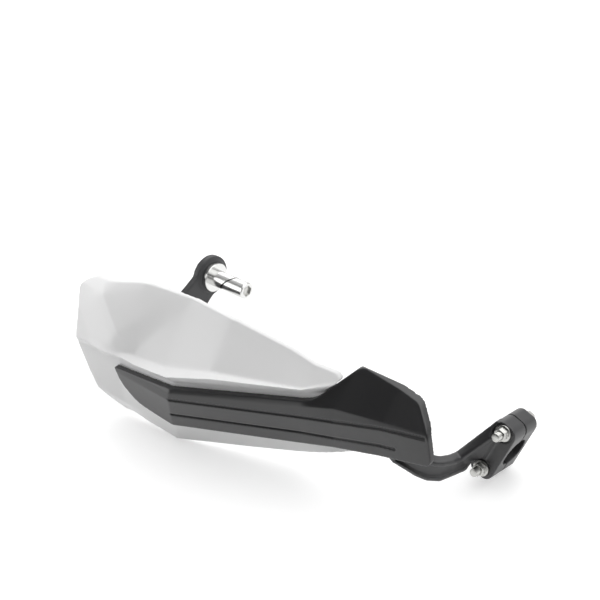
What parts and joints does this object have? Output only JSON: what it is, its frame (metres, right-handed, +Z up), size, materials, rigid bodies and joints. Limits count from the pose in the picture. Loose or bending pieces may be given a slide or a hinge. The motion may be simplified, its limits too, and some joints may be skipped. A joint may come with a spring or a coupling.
{
  "type": "motorcycle hand guard",
  "caption": "Hand guard for a motorcycle handlebar: shield panel with bumper strip, bow to an expanding bar end plug, and an arm to a two-piece bar clamp.",
  "frame": {"origin": "centre of the seat face of the bar end flange, where the end of the handlebar meets it", "axes": "+X inwards along the handlebar, -Y forwards and away from the rider, +Z up"},
  "size_m": [0.3373, 0.1675, 0.1331],
  "materials": {
    "shield_panel": "satin white, slightly translucent",
    "bumper_strip": "satin black, finely grained",
    "outer_bow": "matt black moulding",
    "inner_arm": "satin black coat over cast aluminium",
    "clamp_cap": "satin black coat over cast aluminium",
    "clamp_bolt_upper": "zinc plated",
    "clamp_bolt_lower": "zinc plated",
    "clamp_nut_upper": "zinc plated",
    "clamp_nut_lower": "zinc plated",
    "bar_end_flange": "bright turned",
    "expander_wedge": "bright turned",
    "plug_bolt": "zinc plated",
    "plug_washer": "zinc plated",
    "plug_nut": "plain steel",
    "eye_sleeve": "turned",
    "spacer_bush": "turned",
    "shield_screw_outer": "zinc plated",
    "shield_screw_inner": "zinc plated",
    "screw_washer_outer": "zinc plated",
    "screw_washer_inner": "zinc plated",
    "strip_insert_outer": "knurled insert, plain here",
    "strip_insert_inner": "knurled insert, plain here"
  },
  "bodies": {
    "root": {"shield_panel": "shield_panel", "bumper_strip": "bumper_strip", "outer_bow": "outer_bow", "inner_arm": "inner_arm", "clamp_cap": "clamp_cap", "clamp_bolt_upper": "clamp_bolt_upper", "clamp_bolt_lower": "clamp_bolt_lower", "clamp_nut_upper": "clamp_nut_upper", "clamp_nut_lower": "clamp_nut_lower", "bar_end_flange": "bar_end_flange", "expander_wedge": "expander_wedge", "plug_bolt": "plug_bolt", "plug_washer": "plug_washer", "plug_nut": "plug_nut", "eye_sleeve": "eye_sleeve", "spacer_bush": "spacer_bush", "shield_screw_outer": "shield_screw_outer", "shield_screw_inner": "shield_screw_inner", "screw_washer_outer": "screw_washer_outer", "screw_washer_inner": "screw_washer_inner", "strip_insert_outer": "strip_insert_outer", "strip_insert_inner": "strip_insert_inner"}
  },
  "joints": []
}
